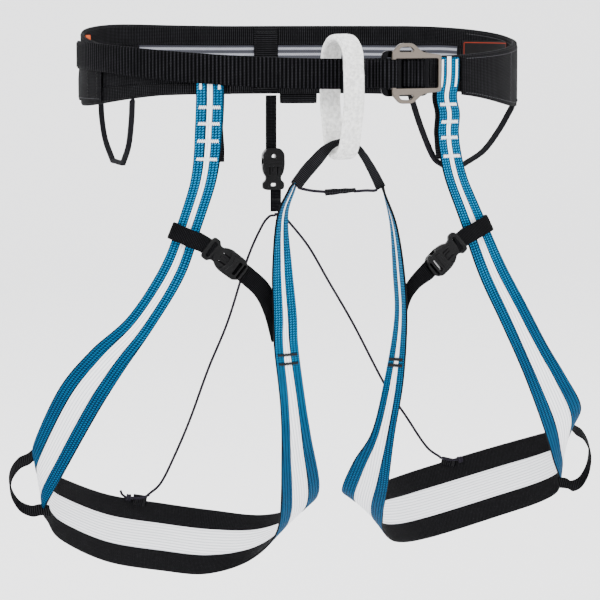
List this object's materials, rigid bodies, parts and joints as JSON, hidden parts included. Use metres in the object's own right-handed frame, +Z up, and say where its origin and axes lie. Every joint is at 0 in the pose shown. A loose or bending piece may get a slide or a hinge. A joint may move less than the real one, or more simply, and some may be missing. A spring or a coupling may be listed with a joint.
{
  "type": "climbing harness",
  "caption": "Light mountaineering harness: waist band with threaded front buckle, belay loop, split-webbing leg loops with clips, elevator cords and gear loops.",
  "frame": {"origin": "middle of the waist ring, at the height of the middle of the band", "axes": "+X across the waist towards the buckle side, -Y towards the front with the belay loop, +Z up"},
  "size_m": [0.4259, 0.237, 0.4001],
  "materials": {
    "black_webbing": "matte weave",
    "ribbed_webbing": "ribbed weave",
    "reflective_weave": "grey weave with reflective threads",
    "blue_webbing": "two-tone weave",
    "white_elastic": "ribbed elastic",
    "white_webbing": "smooth sling webbing",
    "buckle_metal": "satin anodised",
    "black_metal": "satin",
    "clip_plastic": "moulded",
    "dark_cord": "braided cord",
    "label_print": "printed tape",
    "orange_label": "woven label"
  },
  "bodies": {
    "harness_base": {"waist_band_upper": "black_webbing", "waist_band_lower": "black_webbing", "waist_band_side_panel_left": "black_webbing", "waist_band_reflective_panel": "reflective_weave", "waist_band_side_panel_right": "black_webbing", "side_cover_left": "black_webbing", "side_cover_right": "black_webbing", "size_label": "label_print", "care_label": "orange_label", "rear_centre_patch": "black_webbing", "haul_loop": "black_webbing", "waist_strap_tail": "ribbed_webbing", "waist_strap_load": "ribbed_webbing", "buckle_rear_plate": "black_metal", "buckle_strap_fold": "ribbed_webbing", "riser_left": "blue_webbing", "riser_backing_left": "black_webbing", "riser_right": "blue_webbing", "riser_backing_right": "black_webbing", "bridge_cord_sleeve": "black_webbing", "elevator_strap_upper": "black_webbing", "elevator_strap_lower": "black_webbing", "clip_plug_rear": "clip_plastic"},
    "belay_loop_body": {"belay_loop": "white_webbing"},
    "buckle_front": {"buckle_front_plate": "buckle_metal"},
    "gear_loop_left_body": {"gear_loop_left": "dark_cord"},
    "gear_loop_right_body": {"gear_loop_right": "dark_cord"},
    "leg_loop_left": {"leg_webbing_outer_left": "blue_webbing", "leg_webbing_inner_left": "blue_webbing", "leg_stretch_panel_left": "white_elastic", "tie_in_sleeve_left": "black_webbing", "bridge_cord_left": "dark_cord", "thigh_keeper_left": "black_webbing", "clip_plug_left": "clip_plastic", "thigh_strap_left": "black_webbing", "leg_tab_left": "black_webbing", "elevator_cord_left": "dark_cord", "cord_anchor_left": "black_webbing", "cord_knot_left": "dark_cord"},
    "leg_loop_right": {"leg_webbing_outer_right": "blue_webbing", "leg_webbing_inner_right": "blue_webbing", "leg_stretch_panel_right": "white_elastic", "tie_in_sleeve_right": "black_webbing", "bridge_cord_right": "dark_cord", "thigh_keeper_right": "black_webbing", "clip_plug_right": "clip_plastic", "thigh_strap_right": "black_webbing", "leg_tab_right": "black_webbing", "elevator_cord_right": "dark_cord", "cord_anchor_right": "black_webbing", "cord_knot_right": "dark_cord"},
    "clip_socket_left_body": {"clip_socket_left": "clip_plastic"},
    "clip_socket_right_body": {"clip_socket_right": "clip_plastic"},
    "clip_socket_rear_body": {"clip_socket_rear": "clip_plastic"},
    "clip_prong_left_a_body": {"clip_prong_left_a": "clip_plastic"},
    "clip_prong_left_b_body": {"clip_prong_left_b": "clip_plastic"},
    "clip_prong_right_a_body": {"clip_prong_right_a": "clip_plastic"},
    "clip_prong_right_b_body": {"clip_prong_right_b": "clip_plastic"},
    "clip_prong_rear_a_body": {"clip_prong_rear_a": "clip_plastic"},
    "clip_prong_rear_b_body": {"clip_prong_rear_b": "clip_plastic"}
  },
  "joints": [
    {"name": "belay_loop_swivel", "type": "hinge", "parent": "harness_base", "child": "belay_loop_body", "pos_m": [0, -0.1068, -0.02], "axis": [0, 0, 1], "range_deg": [-12, 12]},
    {"name": "buckle_plate_tilt", "type": "hinge", "parent": "harness_base", "child": "buckle_front", "pos_m": [0.03325, -0.11371, -0.0032], "axis": [0, 0, -1], "range_deg": [0, 30]},
    {"name": "gear_loop_left_swing", "type": "hinge", "parent": "harness_base", "child": "gear_loop_left_body", "pos_m": [-0.13, 0, -0.0245], "axis": [0, 0.9989, -0.046], "range_deg": [-40, 40]},
    {"name": "gear_loop_right_swing", "type": "hinge", "parent": "harness_base", "child": "gear_loop_right_body", "pos_m": [0.09575, -0.0685, -0.02425], "axis": [-0.8308, -0.5466, 0.1044], "range_deg": [-40, 6]},
    {"name": "leg_left_swing", "type": "hinge", "parent": "harness_base", "child": "leg_loop_left", "pos_m": [-0.0858, -0.0897, -0.062], "axis": [1, 0, 0], "range_deg": [0, 30], "deforming": ["tie_in_sleeve_left", "bridge_cord_left", "elevator_cord_left"]},
    {"name": "leg_right_swing", "type": "hinge", "parent": "harness_base", "child": "leg_loop_right", "pos_m": [0.081, -0.0902, -0.062], "axis": [1, 0, 0], "range_deg": [0, 30], "deforming": ["tie_in_sleeve_right", "bridge_cord_right", "elevator_cord_right"]},
    {"name": "clip_left_release", "type": "slide", "parent": "leg_loop_left", "child": "clip_socket_left_body", "axis": [0.785, -0.1047, -0.6106], "range_m": [0, 0.012], "deforming": ["thigh_strap_left"]},
    {"name": "clip_left_prong_a", "type": "hinge", "parent": "leg_loop_left", "child": "clip_prong_left_a_body", "pos_m": [-0.07775, -0.09901, -0.11926], "axis": [-0.1382, -0.9904, -0.0079], "range_deg": [-8, 0], "stiffness_Nm_per_rad": 0.0003, "springref_deg": 5.73},
    {"name": "clip_left_prong_b", "type": "hinge", "parent": "leg_loop_left", "child": "clip_prong_left_b_body", "pos_m": [-0.08306, -0.09821, -0.12623], "axis": [-0.1382, -0.9904, -0.0079], "range_deg": [0, 8], "stiffness_Nm_per_rad": 0.0003, "springref_deg": -5.73},
    {"name": "clip_right_release", "type": "slide", "parent": "leg_loop_right", "child": "clip_socket_right_body", "axis": [-0.7306, -0.1154, -0.673], "range_m": [0, 0.012], "deforming": ["thigh_strap_right"]},
    {"name": "clip_right_prong_a", "type": "hinge", "parent": "leg_loop_right", "child": "clip_prong_right_a_body", "pos_m": [0.08013, -0.09843, -0.12626], "axis": [0.1525, -0.9883, 0.0038], "range_deg": [-8, 0], "stiffness_Nm_per_rad": 0.0003, "springref_deg": 5.73},
    {"name": "clip_right_prong_b", "type": "hinge", "parent": "leg_loop_right", "child": "clip_prong_right_b_body", "pos_m": [0.07427, -0.09931, -0.11976], "axis": [0.1525, -0.9883, 0.0038], "range_deg": [0, 8], "stiffness_Nm_per_rad": 0.0003, "springref_deg": -5.73},
    {"name": "clip_rear_release", "type": "slide", "parent": "harness_base", "child": "clip_socket_rear_body", "axis": [0, 0, 1], "range_m": [0, 0.012], "deforming": ["elevator_strap_upper"]},
    {"name": "clip_rear_prong_a", "type": "hinge", "parent": "harness_base", "child": "clip_prong_rear_a_body", "pos_m": [0.0031, 0.104, -0.0817], "axis": [0, -1, 0], "range_deg": [-8, 0], "stiffness_Nm_per_rad": 0.0003, "springref_deg": 5.73},
    {"name": "clip_rear_prong_b", "type": "hinge", "parent": "harness_base", "child": "clip_prong_rear_b_body", "pos_m": [0.0119, 0.104, -0.0817], "axis": [0, -1, 0], "range_deg": [0, 8], "stiffness_Nm_per_rad": 0.0003, "springref_deg": -5.73}
  ],
  "couplings": [
    {"joint": "clip_left_prong_b", "follows": "clip_left_prong_a", "ratio": -1},
    {"joint": "clip_right_prong_b", "follows": "clip_right_prong_a", "ratio": -1},
    {"joint": "clip_rear_prong_b", "follows": "clip_rear_prong_a", "ratio": -1}
  ]
}
